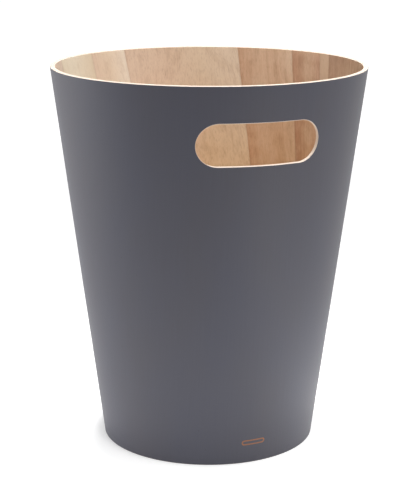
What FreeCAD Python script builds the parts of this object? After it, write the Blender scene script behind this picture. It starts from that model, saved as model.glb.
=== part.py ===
"""A tapered bentwood wastebasket: a laminated wall of thin plies with a bottom panel let into it.

Frame: millimetres, +Z up, origin on the floor at the centre of the base, the handle hole facing -Y.
An azimuth is an angle about Z from -Y towards +X, seen from above as anticlockwise.
"""

import FreeCAD, Part
import math
import os
import Sketcher
from FreeCAD import Placement, Rotation, Vector

# Driving dimensions, in millimetres and degrees.
SIZES = {
    "rim_diameter": 230.0,
    "base_diameter": 158.0,
    "height": 279.0,
    "ply_thickness": 1.2,
    "edge_ease": 0.5,  # bevel on the exposed edges of the rim and the handle hole
    "base_ease": 0.8,  # how far the face plies are sanded up at the floor
    "skin_lift": 0.2,  # face plies end this far above the floor, so the core ply carries the basket
    "seam_angle": 0.1,  # hairline where a wrapped ply meets itself
    "handle_width": 87.5,
    "handle_height": 29.5,
    "handle_drop": 40.2,  # from the rim down to the middle of the handle hole
    "bottom_lift": 6.0,  # from the floor to the underside of the bottom panel
    "bottom_ply": 1.8,
    "joint_lean": 10.0,  # lean of the joints between the inner veneer leaves
    "leaf_spare": 12.0,  # how far a leaf's sector runs past its joints before it is trimmed to them
}

# Azimuth, at the rim, of each joint between two leaves of the inner face; the last meets the first.
LEAF_JOINTS = (-34.0, 16.0, 60.0, 105.5, 111.0, 125.5, 149.5, 198.0, 215.5, 240.0, 282.0)

# The leaves that the handle hole cuts through.
HANDLE_LEAVES = (1, 2)

# Azimuths of the butt seams of the two wrapped plies, staggered so that neither lies over the other.
OUTER_SEAM = 180.0
CORE_SEAM = 75.0

OUTER_PLY = 0
CORE_PLY = 1
INNER_PLY = 2
WALL_PLIES = 3

SLOPE = "((Sizes.rim_diameter - Sizes.base_diameter) / 2 / Sizes.height)"
PLY_STEP = f"(Sizes.ply_thickness * sqrt(1 + {SLOPE} ^ 2))"
TOLERANCE = 0.001


def radius_at(level, plies):
    """Expression for the wall's radius at a height, a number of plies in from the outer face."""
    return f"(Sizes.base_diameter / 2 + {SLOPE} * ({level}) - {plies} * {PLY_STEP})"


def make_sheet(doc):
    sheet = doc.addObject("Spreadsheet::Sheet", "Sizes")
    values = dict(SIZES)
    for number, azimuth in enumerate(LEAF_JOINTS, start=1):
        values[joint_alias(number)] = azimuth
    for row, (alias, value) in enumerate(values.items(), start=1):
        sheet.set(f"A{row}", str(value))
        sheet.setAlias(f"A{row}", alias)
    doc.recompute()


def joint_alias(number):
    return f"leaf_joint_{number}"


def make_body(doc, label):
    body = doc.addObject("PartDesign::Body", label)
    body.Label = label
    return body


def upright_sketch(body, name, azimuth):
    """A sketch on an upright plane through the axis: x runs along the plane and y is up.

    The plane starts as XZ, where x points to +X and the sketch faces -Y, and turns about Z by azimuth.
    The placement starts a degree round, because without a turn it would lose its axis.
    """
    plane = next(item for item in body.Origin.OriginFeatures if item.Role == "XZ_Plane")
    sketch = body.newObject("Sketcher::SketchObject", name)
    sketch.AttachmentSupport = [(plane, "")]
    sketch.MapMode = "FlatFace"
    sketch.AttachmentOffset = Placement(Vector(0, 0, 0), Rotation(Vector(0, 1, 0), 1))
    sketch.setExpression("AttachmentOffset.Rotation.Angle", f"({azimuth}) * 1 deg")
    return sketch


def constrain(sketch, name, expression, kind, *members):
    """Adds a dimension with a size from the sheet."""
    index = sketch.addConstraint(Sketcher.Constraint(kind, *members, 1.0))
    sketch.renameConstraint(index, name)
    sketch.setExpression(f"Constraints.{name}", expression)


def draw_polygon(sketch, corners):
    """A closed outline of straight lines; each corner is an (x, y) pair of expressions."""
    count = len(corners)
    start = [Vector(index, index * index, 0) for index in range(count)]
    for index in range(count):
        sketch.addGeometry(Part.LineSegment(start[index], start[(index + 1) % count]), False)
    for index in range(count):
        sketch.addConstraint(Sketcher.Constraint("Coincident", index, 2, (index + 1) % count, 1))
    for index, (across, up) in enumerate(corners):
        constrain(sketch, f"across_{index}", across, "DistanceX", -1, 1, index, 1)
        constrain(sketch, f"up_{index}", up, "DistanceY", -1, 1, index, 1)


def revolve(body, sketch, angle):
    """Turns the profile about Z, anticlockwise from the sketch's plane."""
    feature = body.newObject("PartDesign::Revolution", f"{sketch.Name}_turned")
    feature.Profile = sketch
    feature.ReferenceAxis = (sketch, ["V_Axis"])
    feature.setExpression("Angle", f"({angle}) * 1 deg")


def pocket_outward(body, sketch):
    """Cuts the outline from the axis out through the wall, on the side that the sketch faces."""
    feature = body.newObject("PartDesign::Pocket", f"{sketch.Name}_cut")
    feature.Profile = sketch
    feature.Reversed = True
    feature.setExpression("Length", "Sizes.rim_diameter")


def cut_handle(body):
    """The obround handle hole, cut level through the wall."""
    sketch = upright_sketch(body, f"{body.Name}_handle", "0")
    lower = sketch.addGeometry(Part.LineSegment(Vector(-2, -1, 0), Vector(2, -1, 0)), False)
    quarter = math.pi / 2
    circle = Part.Circle(Vector(2, 0, 0), Vector(0, 0, 1), 1)
    right = sketch.addGeometry(Part.ArcOfCircle(circle, -quarter, quarter), False)
    upper = sketch.addGeometry(Part.LineSegment(Vector(2, 1, 0), Vector(-2, 1, 0)), False)
    circle = Part.Circle(Vector(-2, 0, 0), Vector(0, 0, 1), 1)
    left = sketch.addGeometry(Part.ArcOfCircle(circle, quarter, 3 * quarter), False)
    for first, second in ((lower, right), (right, upper), (upper, left), (left, lower)):
        sketch.addConstraint(Sketcher.Constraint("Tangent", first, 2, second, 1))
    sketch.addConstraint(Sketcher.Constraint("Horizontal", lower))
    sketch.addConstraint(Sketcher.Constraint("Symmetric", left, 3, right, 3, -2))
    constrain(sketch, "end_radius", "Sizes.handle_height / 2", "Radius", right)
    spacing = "Sizes.handle_width - Sizes.handle_height"
    constrain(sketch, "end_spacing", spacing, "DistanceX", left, 3, right, 3)
    constrain(sketch, "centre_up", "Sizes.height - Sizes.handle_drop", "DistanceY", -1, 1, right, 3)
    pocket_outward(body, sketch)


def face_radius(level, plies):
    """The radius that radius_at describes, as a number."""
    slope = (SIZES["rim_diameter"] - SIZES["base_diameter"]) / 2 / SIZES["height"]
    step = SIZES["ply_thickness"] * (1 + slope**2) ** 0.5
    return SIZES["base_diameter"] / 2 + slope * level - plies * step


def lies_on_face(edge, plies):
    """Whether an edge lies on the face of the wall that is plies in from outside."""
    points = edge.discretize(5)
    gaps = [abs(math.hypot(point.x, point.y) - face_radius(point.z, plies)) for point in points]
    return max(gaps) < TOLERANCE


def ease_edges(body, plies, low, high):
    """Bevels the edges that lie between two heights on the face that is plies in from outside."""
    body.Document.recompute()
    base = body.Tip
    names = []
    for number, edge in enumerate(base.Shape.Edges, start=1):
        between = edge.BoundBox.ZMin > low - TOLERANCE and edge.BoundBox.ZMax < high + TOLERANCE
        if between and lies_on_face(edge, plies):
            names.append(f"Edge{number}")
    feature = body.newObject("PartDesign::Chamfer", f"{base.Name}_eased")
    feature.Base = (base, names)
    feature.setExpression("Size", "Sizes.edge_ease")


def ease_rim(body, plies):
    ease_edges(body, plies, SIZES["height"], SIZES["height"])


def ease_handle(body, plies):
    middle = SIZES["height"] - SIZES["handle_drop"]
    ease_edges(body, plies, middle - SIZES["handle_height"] / 2, middle + SIZES["handle_height"] / 2)


def ply_profile(sketch, plies, outer_foot, inner_foot):
    """The section of one ply of the wall, with its foot at a height for each face."""
    draw_polygon(
        sketch,
        (
            (radius_at(inner_foot, plies + 1), inner_foot),
            (radius_at(outer_foot, plies), outer_foot),
            (radius_at("Sizes.height", plies), "Sizes.height"),
            (radius_at("Sizes.height", plies + 1), "Sizes.height"),
        ),
    )


def wrapped_ply(doc, label, plies, seam, outer_foot, inner_foot):
    """One ply that goes all the way round and meets itself at a hairline seam."""
    body = make_body(doc, label)
    sketch = upright_sketch(body, f"{label}_profile", f"{seam} - 90 + Sizes.seam_angle / 2")
    ply_profile(sketch, plies, outer_foot, inner_foot)
    revolve(body, sketch, "360 - Sizes.seam_angle")
    return body


def outer_face_ply(doc):
    """The painted face ply, bevelled at the rim and the handle hole and sanded up at the floor."""
    body = wrapped_ply(doc, "outer_face_ply", OUTER_PLY, OUTER_SEAM, "Sizes.base_ease", "Sizes.skin_lift")
    ease_rim(body, OUTER_PLY)
    cut_handle(body)
    ease_handle(body, OUTER_PLY)


def core_ply(doc):
    """The cross-grained middle ply, whose lower edge stands on the floor."""
    body = wrapped_ply(doc, "core_ply", CORE_PLY, CORE_SEAM, "0", "0")
    cut_handle(body)


def lean_at(level):
    """Expression for how far a leaf's joint turns about Z from half height to the rim or the floor."""
    shift = "Sizes.height / 2 * tan(Sizes.joint_lean * 1 deg)"
    return f"(asin({shift} / {radius_at(level, WALL_PLIES)}) / 1 deg)"


LEAN_AT_RIM = lean_at("Sizes.height")
LEAN_AT_BASE = lean_at("0")


def trim_leaf(body, azimuth, side):
    """Trims a leaf along a leaning joint that passes its azimuth at half height; side is -1 or 1."""
    sketch = upright_sketch(body, f"{body.Name}_{'low' if side < 0 else 'high'}_joint", azimuth)
    lean = "Sizes.height * tan(Sizes.joint_lean * 1 deg)"
    draw_polygon(
        sketch,
        (
            (f"-{lean}", "-Sizes.height / 2"),
            (f"{side} * Sizes.rim_diameter", "-Sizes.height / 2"),
            (f"{side} * Sizes.rim_diameter", "Sizes.height * 3 / 2"),
            (lean, "Sizes.height * 3 / 2"),
        ),
    )
    pocket_outward(body, sketch)


def inner_leaf(doc, number):
    """One leaf of bare veneer on the inside, from its own joint to the next one round."""
    label = f"inner_leaf_{number:02d}"
    body = make_body(doc, label)
    low = f"(Sizes.{joint_alias(number)} - {LEAN_AT_RIM})"
    if number < len(LEAF_JOINTS):
        high = f"(Sizes.{joint_alias(number + 1)} - {LEAN_AT_RIM})"
    else:
        high = f"(Sizes.{joint_alias(1)} + 360 - {LEAN_AT_RIM})"
    start = f"{low} - {LEAN_AT_BASE} - Sizes.leaf_spare"
    span = f"{high} - {low} + {LEAN_AT_RIM} + {LEAN_AT_BASE} + 2 * Sizes.leaf_spare"
    sketch = upright_sketch(body, f"{label}_profile", f"{start} - 90")
    ply_profile(sketch, INNER_PLY, "Sizes.skin_lift", "Sizes.base_ease")
    revolve(body, sketch, span)
    ease_rim(body, WALL_PLIES)
    if number in HANDLE_LEAVES:
        cut_handle(body)
        ease_handle(body, WALL_PLIES)
    trim_leaf(body, low, -1)
    trim_leaf(body, high, 1)


def bottom_panel_ply(doc, label, order):
    """One ply of the bottom panel, its edge bevelled to the wall's taper; order counts up from below."""
    body = make_body(doc, label)
    sketch = upright_sketch(body, f"{label}_profile", "0")
    lower = f"(Sizes.bottom_lift + {order} * Sizes.bottom_ply)"
    upper = f"({lower} + Sizes.bottom_ply)"
    draw_polygon(
        sketch,
        (
            ("0", lower),
            (radius_at(lower, WALL_PLIES), lower),
            (radius_at(upper, WALL_PLIES), upper),
            ("0", upper),
        ),
    )
    revolve(body, sketch, "360")


def check_document(doc):
    for item in doc.Objects:
        for fault in ("Invalid", "Error"):
            if fault in item.State:
                raise RuntimeError(f"{item.Name} is {fault}")


def export_bodies(doc):
    os.makedirs("parts", exist_ok=True)
    bodies = [item for item in doc.Objects if item.isDerivedFrom("PartDesign::Body")]
    for body in bodies:
        if body.Shape.isNull() or not body.Shape.isValid():
            raise RuntimeError(f"{body.Label} has no valid shape")
    for body in bodies:
        body.Shape.exportStep(f"parts/{body.Label}.step")


def main():
    doc = FreeCAD.newDocument("Wastebasket")
    make_sheet(doc)
    outer_face_ply(doc)
    core_ply(doc)
    for number in range(1, len(LEAF_JOINTS) + 1):
        inner_leaf(doc, number)
    for order, label in enumerate(("bottom_lower_face", "bottom_core", "bottom_upper_face")):
        bottom_panel_ply(doc, label, order)
    doc.recompute()
    check_document(doc)
    export_bodies(doc)


main()
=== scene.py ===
"""The looks of the tapered bentwood wastebasket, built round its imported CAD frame.

Metres, +Z up, origin on the floor at the centre of the base, the handle hole facing -Y.
An azimuth is an angle about Z from -Y towards +X. A depth is how far inside the outer face a point lies.
"""

import math

import bmesh
import bpy
import numpy as np
from mathutils import Matrix, Vector


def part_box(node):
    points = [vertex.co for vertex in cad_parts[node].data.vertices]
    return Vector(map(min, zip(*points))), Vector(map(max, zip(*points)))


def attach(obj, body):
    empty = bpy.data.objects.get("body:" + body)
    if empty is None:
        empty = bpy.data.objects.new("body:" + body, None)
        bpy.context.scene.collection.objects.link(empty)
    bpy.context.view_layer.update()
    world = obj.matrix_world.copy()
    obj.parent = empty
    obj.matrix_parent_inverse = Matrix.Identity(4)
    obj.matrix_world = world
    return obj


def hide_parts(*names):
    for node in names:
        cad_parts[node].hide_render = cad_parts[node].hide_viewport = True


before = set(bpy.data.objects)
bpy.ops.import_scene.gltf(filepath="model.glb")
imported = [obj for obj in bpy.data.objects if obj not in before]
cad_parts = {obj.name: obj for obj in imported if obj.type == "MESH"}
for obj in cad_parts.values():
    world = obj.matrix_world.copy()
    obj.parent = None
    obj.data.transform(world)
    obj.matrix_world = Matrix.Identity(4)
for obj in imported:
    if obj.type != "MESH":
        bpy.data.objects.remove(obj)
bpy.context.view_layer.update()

MM = 0.001


# --- sizes ---

# The wall, as the CAD has it.
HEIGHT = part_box("core_ply")[1].z
RIM_RADIUS = 115 * MM
BASE_RADIUS = 79 * MM
PLY = 1.2 * MM
SLOPE = (RIM_RADIUS - BASE_RADIUS) / HEIGHT
STRETCH = math.sqrt(1 + SLOPE**2)
TAPER_SINE = SLOPE / STRETCH
SKIN_LIFT = 0.2 * MM  # the face plies end this far above the floor
SEAM_ANGLE = math.radians(0.1)
OUTER_SEAM = math.radians(180)
CORE_SEAM = math.radians(75)

# The handle hole: an obround, cut level through the wall.
HANDLE_WIDTH = 87.5 * MM
HANDLE_HEIGHT = 29.5 * MM
HANDLE_MIDDLE = HEIGHT - 40.2 * MM
END_RADIUS = HANDLE_HEIGHT / 2
STRAIGHT = HANDLE_WIDTH - HANDLE_HEIGHT
HALF_TURN = math.pi * END_RADIUS
HALF_LAP = STRAIGHT + HALF_TURN

# The inner leaves: the azimuth of each joint at the rim, and how far the joints lean.
LEAF_JOINTS = (-34.0, 16.0, 60.0, 105.5, 111.0, 125.5, 149.5, 198.0, 215.5, 240.0, 282.0)
LEAN = math.radians(10.0)

# How finely the wall's mesh is divided.
COLUMN_STEP = math.radians(1.25)
ROW_STEP = 5 * MM
LOW_ROW_STEP = 2 * ROW_STEP
PATCH_LOW = HANDLE_MIDDLE - 30 * MM
PATCH_HIGH = HANDLE_MIDDLE + 28 * MM
PATCH_SIDE = math.radians(31.0)
PATCH_RINGS = (0.22, 0.42, 0.6, 0.76, 0.89, 1.0)

# The wall's rounded edges.
EDGE_ROUND = 0.55 * MM
EDGE_SEGMENTS = 4
EDGE_PROFILE = 0.5  # a round bevel
FACE_WRAP = math.radians(12)  # a face's finish follows a rounded edge this far before it is sanded away
FOOT_REACH = 2 * MM
FOOT_WRAP = math.radians(80)  # and this far at the foot, where the edge is finished like the face

# The bottom panel's discs: their sides, the easing of their corners, and the rings on their faces.
BOTTOM_SIDES = 192
BOTTOM_EASE = 0.15 * MM
BOTTOM_RINGS = (0.85, 0.6, 0.3)

# Edges that turn more than this stay crisp in the shading.
WALL_CREASE = math.radians(50)
BOTTOM_CREASE = math.radians(30)


# --- finishes ---

def srgb(red, green, blue):
    """A display colour from 0 to 255 as the linear colour that a shader takes."""
    def linear(value):
        value /= 255
        return value / 12.92 if value <= 0.04045 else ((value + 0.055) / 1.055) ** 2.4
    return (linear(red), linear(green), linear(blue), 1.0)


# The values that a soft noise mostly keeps to, taken widely and narrowly.
WIDE = (0.3, 0.7)
NARROW = (0.35, 0.65)

# A pattern is a soft noise: its cells per mm across the grain, along it and through it, its detail and its
# roughness. These are bare veneer's, and how far each swings the tone, which runs from -1, pale, to 1, dark.
DRIFT = ((0.02, 0.012, 0.0), 1.0, 0.5)
BANDS = ((0.11, 0.004, 0.0), 3.0, 0.6)
FIBRES = ((0.9, 0.02, 0.3), 3.0, 0.65)
MOTTLE = ((0.30, 0.12, 0.1), 3.0, 0.6)
PATCHES = ((0.05, 0.07, 0.0), 1.0, 0.5)
FLECKS = ((1.5, 0.30, 0.5), 2.0, 0.6)
BAND_TONE = 0.5
FIBRE_TONE = 0.35
MOTTLE_TONE = 0.45
PATCH_TONE = 0.25
ARCH_TONE = 0.3
DRIFT_REACH = 9.0  # mm that the grain wanders sideways
FLECK_RANGE = (0.5, 0.75)  # the noise values from which a fleck starts to show and shows fully
FLECK_DEPTH = 0.4  # against the height of the fibres
PALE_SHARE = 0.5  # the contrast of pale streaks against that of dark ones
VENEER_STRIDE = (137.0, 71.0)  # mm between the patterns of one seed and the next
VENEER_ROUGHNESS = (0.52, 0.68)
VENEER_RELIEF = 0.05 * MM
VENEER_SPECULAR = 0.35
PALE_TINT = srgb(250, 232, 205)
DARK_TINT = srgb(190, 160, 130)
FLECK_TINT = srgb(158, 116, 84)

# The figure of a flat-sawn leaf: arches one above another, and what is left of the straight bands.
ARCH_SPREAD = 0.28  # how narrow the arches are
ARCH_FINENESS = 0.05  # arches per mm along the grain
ARCH_BANDS = 0.4

# The line between two leaves: mm from the joint where it starts and stops to fade, and how dark it is.
JOINT_LINE = (0.1, 1.6)
JOINT_DARKNESS = 0.14
GLUE_TINT = srgb(150, 110, 80)

# Painted light, paler and cooler near the rim: mm below it where that starts and stops to fade, and its
# tint.
PAINTED_LIGHT_START, PAINTED_LIGHT_END = 20.0, 100.0
PAINTED_LIGHT_TINT = (1.13, 1.22, 1.45, 1.0)

# For each leaf: its colours from one joint to the other, grain contrast, flecks, its arches' apex and slot.
TAN, BROWN, PALE = "tan_veneer", "brown_veneer", "pale_veneer"
LEAF_LOOKS = (
    (((202, 168, 131), (208, 178, 142), (204, 172, 136)), 0.35, 0.20, None, TAN),
    (((202, 169, 133), (198, 164, 127), (200, 166, 130)), 0.40, 0.20, (-10, -90), TAN),
    (((156, 126, 95), (166, 134, 101), (168, 132, 100)), 0.35, 0.20, None, BROWN),
    (((190, 158, 123), (190, 158, 123)), 0.15, 0.15, None, PALE),
    (((187, 147, 113), (191, 155, 119), (177, 132, 97)), 0.40, 0.20, None, BROWN),
    (((206, 174, 138), (200, 163, 126), (204, 168, 131), (195, 153, 116)), 0.35, 0.20, None, TAN),
    (((222, 197, 163), (216, 187, 150), (216, 184, 149), (218, 187, 153)), 0.35, 0.25, (14, -34), TAN),
    (((234, 213, 181), (224, 197, 161), (220, 190, 156)), 0.25, 0.15, None, PALE),
    (((221, 198, 161), (227, 210, 176), (225, 207, 172)), 0.20, 0.12, None, PALE),
    (((222, 200, 170), (216, 190, 158), (216, 190, 158)), 0.35, 0.20, None, TAN),
    (((198, 163, 126), (194, 157, 120), (196, 161, 124)), 0.35, 0.20, None, BROWN),
)

# The bottom panel's colours, and its plies from the top one down: CAD node, name, seed, slot and colours.
BOTTOM_FACE = ((206, 178, 144), (200, 170, 136), (204, 176, 142))
BOTTOM_CORE = ((206, 178, 148), (200, 170, 140))
BOTTOM_PLIES = (
    ("bottom_upper_face", "bottom_panel_top", 21, "bottom_veneer", BOTTOM_FACE),
    ("bottom_core", "bottom_panel_core", 22, "core_veneer", BOTTOM_CORE),
    ("bottom_lower_face", "bottom_panel_back", 23, "bottom_veneer", BOTTOM_FACE),
)
BOTTOM_CONTRAST = 0.35
BOTTOM_FLECKS = 0.25

# Sanded edges: the light and dark of each, their patterns, and where a glue line fades as a share of a ply.
SANDED_EDGE = (srgb(227, 213, 201), srgb(216, 201, 187))
CORE_EDGE = (srgb(240, 228, 212), srgb(224, 204, 180))
EDGE_LINES = ((0.35, 0.35, 5.0), 2.0, 0.5)
EDGE_PORES = ((2.2, 2.2, 4.0), 2.0, 0.5)
PORE_RANGE = (0.62, 0.75)
PORE_DARKNESS = 0.25
GLUE_LINE = (0.02, 0.07)
GLUE_DARKNESS = 0.5
EDGE_STRIDE = (53.0, 29.0)
EDGE_ROUGHNESS = (0.55, 0.7)
EDGE_RELIEF = 0.03 * MM
EDGE_SPECULAR = 0.35

# Paint, and its patterns.
PAINT = srgb(74, 74, 87)
PAINT_WARM = srgb(76, 74, 83)
PAINT_THIN = srgb(78, 78, 90)
SPECK = srgb(52, 48, 50)
RIDGES = ((0.8, 0.02, 0.0), 3.0, 0.6)
CLOUD = ((0.015, 0.008, 0.0), 2.0, 0.5)
PINCH = ((2.6, 2.6, 0.0), 2.0, 0.5)
SPECKS = ((0.55, 0.4, 0.0), 1.0, 0.5)
SPECK_SHIFT = (13.0, 7.0, 0.0)
SPECK_RANGE = (0.74, 0.80)
SPECK_STRENGTH = 0.30
THIN_STRENGTH = 0.30
PINCH_HEIGHT = 0.35  # against the height of the ridges
PAINT_ROUGHNESS = (0.46, 0.54)
PAINT_RELIEF = 0.03 * MM
PAINT_SPECULAR = 0.5

# The mark near the foot, a plain obround ring: in mm on the unrolled wall, but for its height off the floor.
BURNT = srgb(168, 104, 52)
MARK_ACROSS = 7.0
MARK_HEIGHT = 16.4 * MM
MARK_LENGTH = 18.0
MARK_DEPTH = 4.0
MARK_LINE = 1.0
MARK_BLUR = 0.1
MARK_CHAR = ((0.9, 0.9, 0.0), 2.0, 0.5)
MARK_STRENGTH = (0.55, 1.0)


# --- studio ---

CAMERA_AZIMUTH = math.radians(-18.9)
CAMERA_DISTANCE = 1.0689
CAMERA_HEIGHT = 0.41417
CAMERA_DOWN = math.radians(14.393)
CAMERA_ROLL = math.radians(0.206)
LENS = 106.16
SENSOR_WIDTH = 36

# The floor's own glow, as on a lit studio sweep: its strength at distances in metres from the middle,
# and how it fades towards the camera, so that the side of the room behind the camera stays dimmer.
FLOOR_GLOW = ((0.08, 1.25), (0.2, 0.93), (0.4, 0.5), (0.8, 0.6), (1.4, 1.02))
ROOM_FADE = (0.15, 0.8)
ROOM_DIM = 0.35
# Bounce cards on the floor: metres to the camera's right, metres towards the camera, radius and strength.
CARDS = ((0.15, 0.04, 0.16, 1.0), (0.35, 0.35, 0.25, 1.9))
# The contact shadow, a narrow one and a wide faint one in front: metres to the camera's right and towards
# it, where it starts and ends to fade, and how much of the glow it leaves.
SHADOWS = ((-0.001, -0.006, 0.079, 0.089, 0.7), (0.012, 0.022, 0.09, 0.124, 0.52))
FLOOR_TONE = (0.57, 0.57, 0.57, 1.0)
FLOOR_REACH = 10.0
FLOOR_LEVEL = -0.02 * MM
WHITE = (1.0, 1.0, 1.0, 1.0)

# The world's strength at the horizon and above it, and how high (as a sine) that change ends.
SKY = (0.2, 0.03)
SKY_TOP = 0.16
# Softboxes: degrees round from the camera's side and up, metres off, metres square, and brightness.
SOFTBOXES = {
    "overhead": (0, 89, 1.1, 0.8, 5.75),
    "upper_right": (66, 74, 1.2, 0.8, 5.85),
    "low_left": (-97, 16, 1.4, 0.9, 3.3),
}


# --- the wall's surface ---

def cone_radius(z, depth):
    """The wall's radius at a height and a depth."""
    return BASE_RADIUS + SLOPE * z - depth * STRETCH


def lean_angle(z, depth, lean):
    """How far a leaning joint has turned about Z at a height, from where it is at half height."""
    return math.asin((z - HEIGHT / 2) * math.tan(lean) / cone_radius(z, depth))


def obround_point(lap):
    """The point (x, z) a distance round the handle hole, anticlockwise from the middle of its bottom."""
    turned, along = divmod(lap, HALF_LAP)
    side = -1 if turned % 2 else 1
    if along < STRAIGHT / 2:
        x, z = along, -END_RADIUS
    elif along < STRAIGHT / 2 + HALF_TURN:
        turn = (along - STRAIGHT / 2) / END_RADIUS - math.pi / 2
        x, z = STRAIGHT / 2 + END_RADIUS * math.cos(turn), END_RADIUS * math.sin(turn)
    else:
        x, z = HALF_LAP - along, END_RADIUS
    return side * x, HANDLE_MIDDLE + side * z


def steps(start, end, size):
    """Even steps from start to end, each near the size asked for, without the end itself."""
    count = max(2, round((end - start) / size))
    return [start + (end - start) * i / count for i in range(count)]


class WallNet:
    """The wall laid out as columns and rows of cells, with rings of cells fitted round the handle hole.

    A point is (column, z, hole x, hole z, share). The share is 0 on the plain grid and 1 on the hole's edge.
    """

    def __init__(self, columns, foot, lean):
        self.columns = columns
        self.lean = lean
        below = steps(foot, PATCH_LOW, LOW_ROW_STEP)
        beside = steps(PATCH_LOW, PATCH_HIGH, ROW_STEP)
        self.patch_rows = (len(below), len(below) + len(beside))
        self.rows = below + beside + steps(PATCH_HIGH, HEIGHT, ROW_STEP) + [HEIGHT]
        middle = lean_angle(HANDLE_MIDDLE, 0, lean)
        self.patch_columns = [self.nearest(side * PATCH_SIDE - middle) for side in (-1, 1)]
        self.points = []
        self.cells = []  # (column cell, corner indices), anticlockwise seen from outside
        self.lay_grid()
        self.lay_rings()

    def nearest(self, azimuth):
        """The number of the column nearest to an azimuth."""
        return min(range(len(self.columns)), key=lambda i: abs(self.columns[i] - azimuth))

    def lay_grid(self):
        """Lays the plain cells, which leave a patch open round the hole."""
        (left, right), (low, high) = self.patch_columns, self.patch_rows
        self.index = {}
        for i, column in enumerate(self.columns):
            for j, z in enumerate(self.rows):
                if not (left < i < right and low < j < high):
                    self.index[i, j] = len(self.points)
                    self.points.append((column, z, 0.0, 0.0, 0.0))
        for i in range(len(self.columns) - 1):
            for j in range(len(self.rows) - 1):
                if not (left <= i < right and low <= j < high):
                    corners = ((i, j), (i + 1, j), (i + 1, j + 1), (i, j + 1))
                    self.cells.append((i, tuple(self.index[c] for c in corners)))

    def border(self):
        """The patch's border, anticlockwise from the first column right of the hole's middle."""
        (left, right), (low, high) = self.patch_columns, self.patch_rows
        first = next(i for i in range(left, right) if self.hole_x(i, -1) >= 0)
        loop = [(i, low) for i in range(first, right)]
        loop += [(right, j) for j in range(low, high)]
        loop += [(i, high) for i in range(right, left, -1)]
        loop += [(left, j) for j in range(high, low, -1)]
        return loop + [(i, low) for i in range(left, first)]

    def hole_x(self, i, side):
        """Where column i crosses the bottom (-1) or top (1) edge of the handle hole, as an x."""
        z = HANDLE_MIDDLE + side * END_RADIUS
        return cone_radius(z, 0) * math.sin(self.columns[i] + lean_angle(z, 0, self.lean))

    def lay_rings(self):
        """Fills the patch with rings of cells, from its border to the hole's edge."""
        loop = self.border()
        # Border points over the hole's straight edges go straight to them; the others share out its ends.
        known = []
        for k, (i, j) in enumerate(loop):
            for side, row in ((-1, self.patch_rows[0]), (1, self.patch_rows[1])):
                if j == row and abs(self.hole_x(i, side)) < STRAIGHT / 2:
                    lap = self.hole_x(i, side) if side < 0 else HALF_LAP - self.hole_x(i, side)
                    known.append((k, lap + 2 * HALF_LAP if side < 0 and lap < 0 else lap))
        laps = np.interp(range(len(loop)), *zip(*known))
        ring = [self.index[c] for c in loop]
        for share in PATCH_RINGS:
            start = len(self.points)
            for (i, j), lap in zip(loop, laps):
                self.points.append((self.columns[i], self.rows[j], *obround_point(lap), share))
            inner = list(range(start, len(self.points)))
            for k, (i, j) in enumerate(loop):
                n = (k + 1) % len(loop)
                cell = min(max(min(i, loop[n][0]), self.patch_columns[0]), self.patch_columns[1] - 1)
                self.cells.append((cell, (ring[k], ring[n], inner[n], inner[k])))
            ring = inner

    def place(self, point, depth):
        """Where a point lies in space, at a depth."""
        column, z, hole_x, hole_z, share = point
        azimuth = column + lean_angle(z, depth, self.lean)
        if share:
            azimuth += share * (math.asin(hole_x / cone_radius(hole_z, depth)) - azimuth)
            z += share * (hole_z - z)
        radius = cone_radius(z, depth)
        return Vector((radius * math.sin(azimuth), -radius * math.cos(azimuth), z))


def on_open_edge(net, a, b):
    """Whether two neighbouring border points both lie on the hole, the rim or the foot, not on a joint."""
    ends = (net.points[a], net.points[b])
    on_hole = all(share == 1.0 for *_, share in ends)
    return on_hole or any(all(end[1] == level for end in ends) for level in (net.rows[0], HEIGHT))


def ply_mesh(name, net, span, depths, rounded):
    """A closed sheet between two depths over a span of column cells; rounded is the eased face's number."""
    cells = [corners for cell, corners in net.cells if span[0] <= cell < span[1]]
    used = sorted({index for corners in cells for index in corners})
    bm = bmesh.new()
    verts = []
    for depth in depths:
        verts.append({index: bm.verts.new(net.place(net.points[index], depth)) for index in used})
    directed = set()
    for corners in cells:
        bm.faces.new([verts[0][index] for index in corners])
        bm.faces.new([verts[1][index] for index in reversed(corners)])
        directed.update(zip(corners, corners[1:] + corners[:1]))
    eased = []
    for a, b in directed:
        if (b, a) in directed:
            continue
        bm.faces.new((verts[0][b], verts[0][a], verts[1][a], verts[1][b]))
        if rounded is not None and on_open_edge(net, a, b):
            eased.append(bm.edges.get((verts[rounded][a], verts[rounded][b])))
    if eased:
        bm.normal_update()
        bmesh.ops.bevel(
            bm, geom=eased, offset=EDGE_ROUND, segments=EDGE_SEGMENTS,
            profile=EDGE_PROFILE, affect="EDGES", clamp_overlap=True,
        )
    mesh = bpy.data.meshes.new(name)
    bm.to_mesh(mesh)
    bm.free()
    return mesh


def azimuth_of(point, middle):
    """A point's azimuth, within half a turn of a middle azimuth."""
    azimuth = math.atan2(point[0], -point[1]) - middle
    return middle + (azimuth + math.pi) % (2 * math.pi) - math.pi


def add_attribute(mesh, name, kind, values):
    """Gives a mesh's points a value or a vector each."""
    attribute = mesh.attributes.new(name, kind, "POINT")
    field = "vector" if kind == "FLOAT_VECTOR" else "value"
    attribute.data.foreach_set(field, np.ravel(values).astype(np.float32))


def mark_grain(mesh, middle, lean):
    """Stores where each point lies on the unrolled cone, in mm: across the grain, along it, and depth."""
    values = []
    for vertex in mesh.vertices:
        x, y, z = vertex.co
        slant = cone_radius(z, 0) / TAPER_SINE
        turn = (azimuth_of(vertex.co, middle) - middle) * TAPER_SINE
        across, along = slant * math.sin(turn), slant * math.cos(turn) - RIM_RADIUS / TAPER_SINE
        depth = (cone_radius(z, 0) - math.hypot(x, y)) / STRETCH
        values.append((
            (across * math.cos(lean) - along * math.sin(lean)) / MM,
            (along * math.cos(lean) + across * math.sin(lean)) / MM,
            depth / MM,
        ))
    add_attribute(mesh, "grain", "FLOAT_VECTOR", values)


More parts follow.
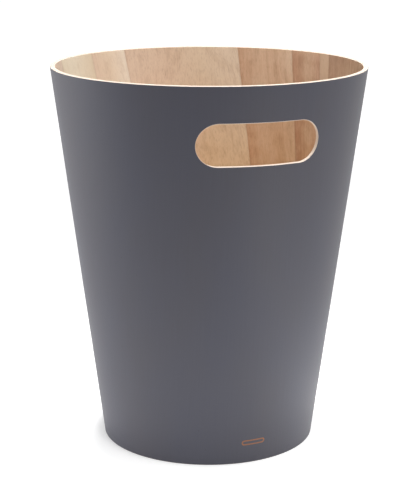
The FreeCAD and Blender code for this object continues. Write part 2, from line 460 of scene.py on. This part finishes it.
def mark_joints(mesh, joints):
    """Stores each point's share of the way across its leaf, and its distance in mm from the nearer joint."""
    middle = sum(joints) / 2
    shares = []
    gaps = []
    for vertex in mesh.vertices:
        azimuth = azimuth_of(vertex.co, middle) - lean_angle(vertex.co.z, 3 * PLY, LEAN)
        arc = math.hypot(vertex.co.x, vertex.co.y) * math.cos(LEAN)
        shares.append((azimuth - joints[0]) / (joints[1] - joints[0]))
        gaps.append(min(abs(azimuth - joint) for joint in joints) * arc / MM)
    add_attribute(mesh, "leaf_share", "FLOAT", shares)
    add_attribute(mesh, "joint_gap", "FLOAT", gaps)


def finish_piece(mesh, name, body, nodes, crease=WALL_CREASE):
    """Shades a mesh smoothly with level faces kept level, and makes it a piece of the object."""
    mesh.shade_smooth()
    mesh.set_sharp_from_angle(angle=crease)
    draft = bpy.data.objects.new(name + "_draft", mesh)
    bpy.context.scene.collection.objects.link(draft)
    draft.modifiers.new("level", "WEIGHTED_NORMAL").keep_sharp = True
    final = bpy.data.meshes.new_from_object(draft.evaluated_get(bpy.context.evaluated_depsgraph_get()))
    bpy.data.objects.remove(draft)
    final.name = name
    piece = bpy.data.objects.new(name, final)
    bpy.context.scene.collection.objects.link(piece)
    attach(piece, body)
    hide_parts(*nodes)


def paint_faces(mesh, facing, face_material, edge_material):
    """Gives the shown face one material and the edges another; facing is 1 if it shows outside, else -1."""
    mesh.materials.append(face_material)
    mesh.materials.append(edge_material)
    for polygon in mesh.polygons:
        azimuth = azimuth_of(polygon.center, 0.0)
        outward = Vector((math.sin(azimuth), -math.cos(azimuth), -SLOPE)).normalized()
        wrap = FOOT_WRAP if polygon.center.z < FOOT_REACH else FACE_WRAP
        polygon.material_index = 0 if (outward * facing).angle(polygon.normal) < wrap else 1


# --- shader helpers ---

def new_material(name):
    """A material with an empty node tree."""
    material = bpy.data.materials.new(name)
    material.use_nodes = True
    material.node_tree.nodes.clear()
    return material, material.node_tree


def node(tree, kind, settings=None, **inputs):
    """Adds a node. Each input is a socket to link or a plain value, by number (_0) or name (Base_Color)."""
    made = tree.nodes.new(kind)
    for name, value in (settings or {}).items():
        setattr(made, name, value)
    for name, value in inputs.items():
        socket = made.inputs[int(name[1:])] if name[1:].isdigit() else made.inputs[name.replace("_", " ")]
        if isinstance(value, bpy.types.NodeSocket):
            tree.links.new(value, socket)
        else:
            socket.default_value = value
    return made


def calc(tree, operation, a, b=0.0):
    """One operation on plain values."""
    return node(tree, "ShaderNodeMath", {"operation": operation}, _0=a, _1=b).outputs[0]


def total(tree, *values):
    """The sum of several values."""
    result = values[0]
    for value in values[1:]:
        result = calc(tree, "ADD", result, value)
    return result


def vector_calc(tree, operation, a, b):
    """One operation on vectors; the node has an output for a vector and one for a value."""
    return node(tree, "ShaderNodeVectorMath", {"operation": operation}, _0=a, _1=b)


def axes_of(tree, vector):
    """A vector's three parts."""
    return node(tree, "ShaderNodeSeparateXYZ", _0=vector).outputs


def soft_noise(tree, vector, detail=2.0, roughness=0.5):
    """Noise between 0 and 1, one cell per unit of the vector."""
    made = node(tree, "ShaderNodeTexNoise", Vector=vector, Scale=1.0, Detail=detail, Roughness=roughness)
    return made.outputs["Fac"]


def patterned(tree, grain, pattern, shift=(0.0, 0.0, 0.0)):
    """A pattern's noise over the grain."""
    fineness, detail, roughness = pattern
    cells = node(tree, "ShaderNodeMapping", Vector=grain, Scale=fineness, Location=shift).outputs[0]
    return soft_noise(tree, cells, detail, roughness)


def spread(tree, value, low, high, out_low=0.0, out_high=1.0):
    """The value's place between low and high, as a place between out_low and out_high."""
    return node(tree, "ShaderNodeMapRange", _0=value, _1=low, _2=high, _3=out_low, _4=out_high).outputs[0]


def mixed(tree, factor, a, b, mode="MIX"):
    """Colour a with colour b mixed in by the factor."""
    settings = {"data_type": "RGBA", "blend_type": mode}
    return node(tree, "ShaderNodeMix", settings, _0=factor, _6=a, _7=b).outputs[2]


def close_surface(tree, colour, roughness, height, bump_distance, specular):
    """Ends a material in a principled surface with bump."""
    bump = node(tree, "ShaderNodeBump", Strength=1.0, Distance=bump_distance, Height=height).outputs[0]
    surface = node(tree, "ShaderNodeBsdfPrincipled", Base_Color=colour, Roughness=roughness, Normal=bump)
    surface.inputs["Specular IOR Level"].default_value = specular
    output = tree.nodes.new("ShaderNodeOutputMaterial")
    tree.links.new(surface.outputs[0], output.inputs[0])


# --- materials ---

def grain_vector(tree):
    """Where a point lies on the unrolled cone, as the mesh stores it."""
    return node(tree, "ShaderNodeAttribute", {"attribute_name": "grain"}).outputs["Vector"]


def attribute_value(tree, name):
    """A value that the mesh stores for each point."""
    return node(tree, "ShaderNodeAttribute", {"attribute_name": name}).outputs["Fac"]


def colour_across(tree, share, colours):
    """Even steps of colour across a leaf, from one joint to the other."""
    ramp = node(tree, "ShaderNodeValToRGB", _0=share)
    elements = ramp.color_ramp.elements
    while len(elements) < len(colours):
        elements.new(0.5)
    for number, colour in enumerate(colours):
        elements[number].position = number / (len(colours) - 1)
        elements[number].color = colour
    return ramp.outputs[0]


def wandering(tree, grain, shift):
    """The grain, drifting a little from side to side along its length."""
    drift = spread(tree, patterned(tree, grain, DRIFT, shift), 0.0, 1.0, -DRIFT_REACH, DRIFT_REACH)
    sideways = node(tree, "ShaderNodeCombineXYZ", _0=drift).outputs[0]
    return vector_calc(tree, "ADD", grain, sideways).outputs[0]


def arched_bands(tree, grain, shift, apex):
    """Growth bands that close into arches below their apex."""
    parts = axes_of(tree, vector_calc(tree, "SUBTRACT", grain, (*apex, 0.0)).outputs[0])
    across = calc(tree, "MULTIPLY", parts[0], ARCH_SPREAD)
    arch = total(tree, calc(tree, "MULTIPLY", across, across), parts[1])
    level = calc(tree, "MULTIPLY", arch, ARCH_FINENESS)
    cells = node(tree, "ShaderNodeCombineXYZ", _0=level, _1=shift[1]).outputs[0]
    return spread(tree, soft_noise(tree, cells), *NARROW, -ARCH_TONE, ARCH_TONE)


def veneer_tone(tree, wavy, shift, fibres, arch):
    """The figure's tone at each point, from -1, pale, to 1, dark."""
    figure = spread(tree, patterned(tree, wavy, BANDS, shift), *WIDE, -BAND_TONE, BAND_TONE)
    if arch:
        figure = calc(tree, "MULTIPLY", figure, ARCH_BANDS)
        figure = total(tree, figure, arched_bands(tree, wavy, shift, arch))
    streaks = spread(tree, fibres, *WIDE, -FIBRE_TONE, FIBRE_TONE)
    mottle = spread(tree, patterned(tree, wavy, MOTTLE, shift), *WIDE, -MOTTLE_TONE, MOTTLE_TONE)
    patches = spread(tree, patterned(tree, wavy, PATCHES, shift), *NARROW, -PATCH_TONE, PATCH_TONE)
    return total(tree, figure, streaks, mottle, patches)


def veneer_material(name, colours, seed, contrast, fleck, arch=None):
    """Bare veneer: colours across the leaf, its figure, dark flecks, and a dark line at the joints.

    arch is the (across, along) apex in mm of a flat-sawn figure, whose bands are arches one above another.
    """
    material, tree = new_material(name)
    grain = grain_vector(tree)
    shift = (seed * VENEER_STRIDE[0], seed * VENEER_STRIDE[1], 0.0)
    wavy = wandering(tree, grain, shift)
    fibres = patterned(tree, wavy, FIBRES, shift)
    tone = veneer_tone(tree, wavy, shift, fibres, arch)
    flecks = spread(tree, patterned(tree, wavy, FLECKS, shift), *FLECK_RANGE, 0.0, fleck)
    joint = spread(tree, attribute_value(tree, "joint_gap"), *JOINT_LINE, JOINT_DARKNESS, 0.0)
    # Painted light: a mask that pales and cools the colour near the rim, where the light falls whiter.
    painted_light = spread(tree, axes_of(tree, grain)[1], -PAINTED_LIGHT_END, -PAINTED_LIGHT_START)

    base = colour_across(tree, attribute_value(tree, "leaf_share"), [srgb(*colour) for colour in colours])
    base = mixed(tree, painted_light, base, PAINTED_LIGHT_TINT, "MULTIPLY")
    base = mixed(tree, spread(tree, tone, -1.0, 0.0, PALE_SHARE * contrast, 0.0), base, PALE_TINT)
    base = mixed(tree, spread(tree, tone, 0.0, 1.0, 0.0, contrast), base, DARK_TINT, "MULTIPLY")
    base = mixed(tree, flecks, base, FLECK_TINT, "MULTIPLY")
    base = mixed(tree, joint, base, GLUE_TINT, "MULTIPLY")
    height = calc(tree, "SUBTRACT", fibres, calc(tree, "MULTIPLY", flecks, FLECK_DEPTH))
    roughness = spread(tree, fibres, *WIDE, *VENEER_ROUGHNESS)
    close_surface(tree, base, roughness, height, VENEER_RELIEF, VENEER_SPECULAR)
    return material


def paint_material():
    """Matte slate paint, thin enough that the veneer's grain shows as faint ridges, with fine specks."""
    material, tree = new_material("slate_paint")
    grain = grain_vector(tree)
    ridges = patterned(tree, grain, RIDGES)
    cloud = patterned(tree, grain, CLOUD)
    specks = patterned(tree, grain, SPECKS, SPECK_SHIFT)
    pinch = patterned(tree, grain, PINCH)
    base = mixed(tree, spread(tree, cloud, *NARROW), PAINT, PAINT_WARM)
    base = mixed(tree, spread(tree, ridges, *NARROW, 0.0, THIN_STRENGTH), base, PAINT_THIN)
    base = mixed(tree, spread(tree, specks, *SPECK_RANGE, 0.0, SPECK_STRENGTH), base, SPECK)
    base = mixed(tree, burnt_ring(tree, grain), base, BURNT)
    height = total(tree, ridges, calc(tree, "MULTIPLY", pinch, PINCH_HEIGHT))
    roughness = spread(tree, pinch, *WIDE, *PAINT_ROUGHNESS)
    close_surface(tree, base, roughness, height, PAINT_RELIEF, PAINT_SPECULAR)
    return material


def burnt_ring(tree, grain):
    """How strongly the burnt ring shows at each point, from 0 to 1."""
    centre = (MARK_ACROSS, (MARK_HEIGHT - HEIGHT) * STRETCH / MM, 0.0)
    parts = axes_of(tree, vector_calc(tree, "SUBTRACT", grain, centre).outputs[0])
    reach = calc(tree, "SUBTRACT", calc(tree, "ABSOLUTE", parts[0]), (MARK_LENGTH - MARK_DEPTH) / 2)
    past = calc(tree, "MAXIMUM", reach, 0.0)
    squares = total(tree, calc(tree, "MULTIPLY", past, past), calc(tree, "MULTIPLY", parts[1], parts[1]))
    away = calc(tree, "SQRT", squares)
    off_line = calc(tree, "ABSOLUTE", calc(tree, "SUBTRACT", away, (MARK_DEPTH - MARK_LINE) / 2))
    ring = spread(tree, off_line, MARK_LINE / 2 - MARK_BLUR, MARK_LINE / 2 + MARK_BLUR, 1.0, 0.0)
    uneven = spread(tree, patterned(tree, grain, MARK_CHAR), *WIDE, *MARK_STRENGTH)
    return calc(tree, "MULTIPLY", ring, uneven)


def edge_material(name, light, dark, seed):
    """Sanded end of a ply: pale, with fine lines along it and a thin glue line where it meets the next."""
    material, tree = new_material(name)
    grain = grain_vector(tree)
    shift = (seed * EDGE_STRIDE[0], seed * EDGE_STRIDE[1], 0.0)
    lines = patterned(tree, grain, EDGE_LINES, shift)
    pores = patterned(tree, grain, EDGE_PORES, shift)
    base = mixed(tree, spread(tree, lines, *WIDE), light, dark)
    base = mixed(tree, spread(tree, pores, *PORE_RANGE, 0.0, PORE_DARKNESS), base, FLECK_TINT, "MULTIPLY")
    plies_deep = calc(tree, "DIVIDE", axes_of(tree, grain)[2], PLY / MM)
    place = calc(tree, "FRACT", total(tree, plies_deep, 0.5))
    off_glue = calc(tree, "ABSOLUTE", calc(tree, "SUBTRACT", place, 0.5))
    base = mixed(tree, spread(tree, off_glue, *GLUE_LINE, GLUE_DARKNESS, 0.0), base, GLUE_TINT, "MULTIPLY")
    roughness = spread(tree, lines, *WIDE, *EDGE_ROUGHNESS)
    close_surface(tree, base, roughness, pores, EDGE_RELIEF, EDGE_SPECULAR)
    return material


# --- the pieces ---

def ply_columns(seam):
    """Columns right round the wall, from one side of a seam to the other."""
    start = seam - 2 * math.pi + SEAM_ANGLE / 2
    end = seam - SEAM_ANGLE / 2
    return steps(start, end, COLUMN_STEP) + [end]


def outer_ply(sanded):
    """The painted face ply, its seam opposite the handle hole."""
    columns = ply_columns(OUTER_SEAM)
    net = WallNet(columns, SKIN_LIFT, 0.0)
    mesh = ply_mesh("painted_face_ply", net, (0, len(columns)), (0.0, PLY), 0)
    mark_grain(mesh, 0.0, 0.0)
    paint_faces(mesh, 1, paint_material(), sanded)
    finish_piece(mesh, "painted_face_ply", "root", ["outer_face_ply"])


def core_ply():
    """The cross-grained middle ply, seen only as a line in the rim and in the handle hole's edge."""
    columns = ply_columns(CORE_SEAM)
    net = WallNet(columns, 0.0, 0.0)
    mesh = ply_mesh("cross_grain_core_ply", net, (0, len(columns)), (PLY, 2 * PLY), None)
    mark_grain(mesh, CORE_SEAM - math.pi, 0.0)
    mesh.materials.append(edge_material("core_edge", *CORE_EDGE, seed=5))
    finish_piece(mesh, "cross_grain_core_ply", "root", ["core_ply"])


def inner_leaves(sanded):
    """The leaves of bare veneer that line the wall, edge to edge along leaning joints."""
    at_rim = lean_angle(HEIGHT, 3 * PLY, LEAN)
    joints = [math.radians(joint) - at_rim for joint in LEAF_JOINTS]
    joints.append(joints[0] + 2 * math.pi)
    columns = []
    starts = []
    for low, high in zip(joints, joints[1:]):
        starts.append(len(columns))
        columns += steps(low, high, COLUMN_STEP)
    starts.append(len(columns))
    columns.append(joints[-1])
    net = WallNet(columns, SKIN_LIFT, LEAN)
    for number, (colours, contrast, fleck, arch, slot) in enumerate(LEAF_LOOKS):
        name = f"veneer_leaf_{number + 1:02d}"
        ends = joints[number:number + 2]
        mesh = ply_mesh(name, net, (starts[number], starts[number + 1]), (2 * PLY, 3 * PLY), 1)
        mark_grain(mesh, sum(ends) / 2, LEAN)
        mark_joints(mesh, ends)
        face = veneer_material(f"veneer_{number + 1:02d}", colours, number + 1, contrast, fleck, arch)
        paint_faces(mesh, -1, face, sanded)
        finish_piece(mesh, name, "root", [f"inner_leaf_{number + 1:02d}"])


def disc_face(bm, ring, z, up):
    """Closes a disc with a level face: rings of cells round a fan of triangles."""
    def add(corners):
        bm.faces.new(corners if up else corners[::-1])

    outer = ring
    for share in BOTTOM_RINGS:
        inner = [bm.verts.new((v.co.x * share, v.co.y * share, z)) for v in ring]
        for k in range(BOTTOM_SIDES):
            n = (k + 1) % BOTTOM_SIDES
            add((outer[k], outer[n], inner[n], inner[k]))
        outer = inner
    centre = bm.verts.new((0, 0, z))
    for k in range(BOTTOM_SIDES):
        add((outer[k], outer[(k + 1) % BOTTOM_SIDES], centre))


def disc_mesh(name, low, high):
    """A disc that fits the wall's taper, its corners just broken."""
    outline = ((low, BOTTOM_EASE), (low + BOTTOM_EASE, 0.0), (high - BOTTOM_EASE, 0.0), (high, BOTTOM_EASE))
    turns = [2 * math.pi * k / BOTTOM_SIDES for k in range(BOTTOM_SIDES)]
    bm = bmesh.new()
    rings = []
    for z, inset in outline:
        radius = cone_radius(z, 3 * PLY) - inset
        rings.append([bm.verts.new((radius * math.sin(t), -radius * math.cos(t), z)) for t in turns])
    for lower, upper in zip(rings, rings[1:]):
        for k in range(BOTTOM_SIDES):
            n = (k + 1) % BOTTOM_SIDES
            bm.faces.new((lower[k], lower[n], upper[n], upper[k]))
    disc_face(bm, rings[0], low, False)
    disc_face(bm, rings[-1], high, True)
    mesh = bpy.data.meshes.new(name)
    bm.to_mesh(mesh)
    bm.free()
    return mesh


def bottom_disc(node_name, name, seed, slot, colours):
    """A ply of the bottom panel, with straight grain right across it and no joint."""
    low, high = (corner.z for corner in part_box(node_name))
    mesh = disc_mesh(name, low, high)
    points = [vertex.co.copy() for vertex in mesh.vertices]
    grain = [(point.x / MM, point.y / MM, point.z / MM) for point in points]
    add_attribute(mesh, "grain", "FLOAT_VECTOR", grain)
    add_attribute(mesh, "leaf_share", "FLOAT", [0.5 + point.x / (2 * RIM_RADIUS) for point in points])
    add_attribute(mesh, "joint_gap", "FLOAT", [JOINT_LINE[1] for point in points])
    mesh.materials.append(veneer_material(name + "_veneer", colours, seed, BOTTOM_CONTRAST, BOTTOM_FLECKS))
    finish_piece(mesh, name, "root", [node_name], BOTTOM_CREASE)


def bottom_panel():
    """The three plies of the bottom."""
    for ply in BOTTOM_PLIES:
        bottom_disc(*ply)


# --- camera, floor and light ---

def add_camera():
    """A camera that looks a little down at the object, and is rolled slightly about its own axis."""
    data = bpy.data.cameras.new("camera")
    data.lens = LENS
    data.sensor_width = SENSOR_WIDTH
    camera = bpy.data.objects.new("camera", data)
    bpy.context.scene.collection.objects.link(camera)
    towards = Vector((-math.sin(CAMERA_AZIMUTH), math.cos(CAMERA_AZIMUTH), 0))
    ahead = towards * math.cos(CAMERA_DOWN) - Vector((0, 0, math.sin(CAMERA_DOWN)))
    right = ahead.cross(Vector((0, 0, 1))).normalized()
    up = right.cross(ahead)
    rolled_right = right * math.cos(CAMERA_ROLL) + up * math.sin(CAMERA_ROLL)
    rolled_up = up * math.cos(CAMERA_ROLL) - right * math.sin(CAMERA_ROLL)
    axes = Matrix((rolled_right, rolled_up, -ahead)).transposed().to_4x4()
    axes.translation = Vector((0, 0, CAMERA_HEIGHT)) - towards * CAMERA_DISTANCE
    camera.matrix_world = axes
    bpy.context.scene.camera = camera


def fade(tree, value, start, end, at_start, at_end):
    """Like spread, but it eases in and out."""
    made = node(tree, "ShaderNodeMapRange", {"interpolation_type": "SMOOTHSTEP"},
                _0=value, _1=start, _2=end, _3=at_start, _4=at_end)
    return made.outputs[0]


def floor_point(right, front):
    """The point on the floor so many metres to the camera's right, and towards the camera."""
    cosine, sine = math.cos(CAMERA_AZIMUTH), math.sin(CAMERA_AZIMUTH)
    return (right * cosine + front * sine, right * sine - front * cosine, 0.0)


def distance_from(tree, place, right, front):
    """How far a place is from a point on the floor."""
    return vector_calc(tree, "DISTANCE", place, floor_point(right, front)).outputs["Value"]


def floor_glow(tree):
    """How strongly the floor glows at each place."""
    place = tree.nodes.new("ShaderNodeNewGeometry").outputs["Position"]
    away = distance_from(tree, place, 0.0, 0.0)
    glow = FLOOR_GLOW[0][1]
    for (near, start), (far, end) in zip(FLOOR_GLOW, FLOOR_GLOW[1:]):
        glow = total(tree, fade(tree, away, near, far, 0.0, end - start), glow)
    nearer = vector_calc(tree, "DOT_PRODUCT", place, floor_point(0.0, 1.0)).outputs["Value"]
    glow = calc(tree, "MULTIPLY", glow, fade(tree, nearer, *ROOM_FADE, 1.0, ROOM_DIM))
    for right, front, radius, strength in CARDS:
        apart = distance_from(tree, place, right, front)
        glow = total(tree, glow, fade(tree, apart, 0.0, radius, strength, 0.0))
    for right, front, start, end, left in SHADOWS:
        apart = distance_from(tree, place, right, front)
        glow = calc(tree, "MULTIPLY", glow, fade(tree, apart, start, end, left, 1.0))
    return glow


def add_floor():
    """A pale floor that reads as white, with only a soft contact shadow."""
    material, tree = new_material("pale_floor")
    diffuse = node(tree, "ShaderNodeBsdfDiffuse", Color=FLOOR_TONE).outputs[0]
    lit = node(tree, "ShaderNodeEmission", Color=WHITE, Strength=floor_glow(tree)).outputs[0]
    both = node(tree, "ShaderNodeAddShader", _0=diffuse, _1=lit).outputs[0]
    output = tree.nodes.new("ShaderNodeOutputMaterial")
    tree.links.new(both, output.inputs[0])
    signs = ((-1, -1), (1, -1), (1, 1), (-1, 1))
    corners = [(x * FLOOR_REACH, y * FLOOR_REACH, FLOOR_LEVEL) for x, y in signs]
    mesh = bpy.data.meshes.new("floor")
    mesh.from_pydata(corners, [], [(0, 1, 2, 3)])
    mesh.materials.append(material)
    floor = bpy.data.objects.new("floor", mesh)
    bpy.context.scene.collection.objects.link(floor)


def add_softbox(name, azimuth, elevation, distance, size, brightness):
    """A square light that faces the middle of the object."""
    data = bpy.data.lights.new(name, "AREA")
    data.size = size
    data.energy = brightness * size**2 * math.pi
    light = bpy.data.objects.new(name, data)
    bpy.context.scene.collection.objects.link(light)
    turn = CAMERA_AZIMUTH + math.radians(azimuth)
    rise = math.radians(elevation)
    away = Vector((math.sin(turn) * math.cos(rise), -math.cos(turn) * math.cos(rise), math.sin(rise)))
    light.location = Vector((0, 0, HEIGHT / 2)) + away * distance
    light.rotation_euler = away.to_track_quat("Z", "Y").to_euler()


def add_light():
    """Softboxes, and a dim world that is lightest at the horizon, shown in plain display colours."""
    world = bpy.data.worlds.new("studio")
    world.use_nodes = True
    tree = world.node_tree
    up = axes_of(tree, tree.nodes.new("ShaderNodeTexCoord").outputs["Generated"])[2]
    sky = tree.nodes["Background"]
    sky.inputs["Color"].default_value = WHITE
    tree.links.new(fade(tree, up, 0.0, SKY_TOP, *SKY), sky.inputs["Strength"])
    bpy.context.scene.world = world
    for name, settings in SOFTBOXES.items():
        add_softbox(name, *settings)
    bpy.context.scene.view_settings.view_transform = "Standard"


add_camera()
add_light()
add_floor()
sanded_edge = edge_material("sanded_edge", *SANDED_EDGE, seed=3)
outer_ply(sanded_edge)
core_ply()
inner_leaves(sanded_edge)
bottom_panel()
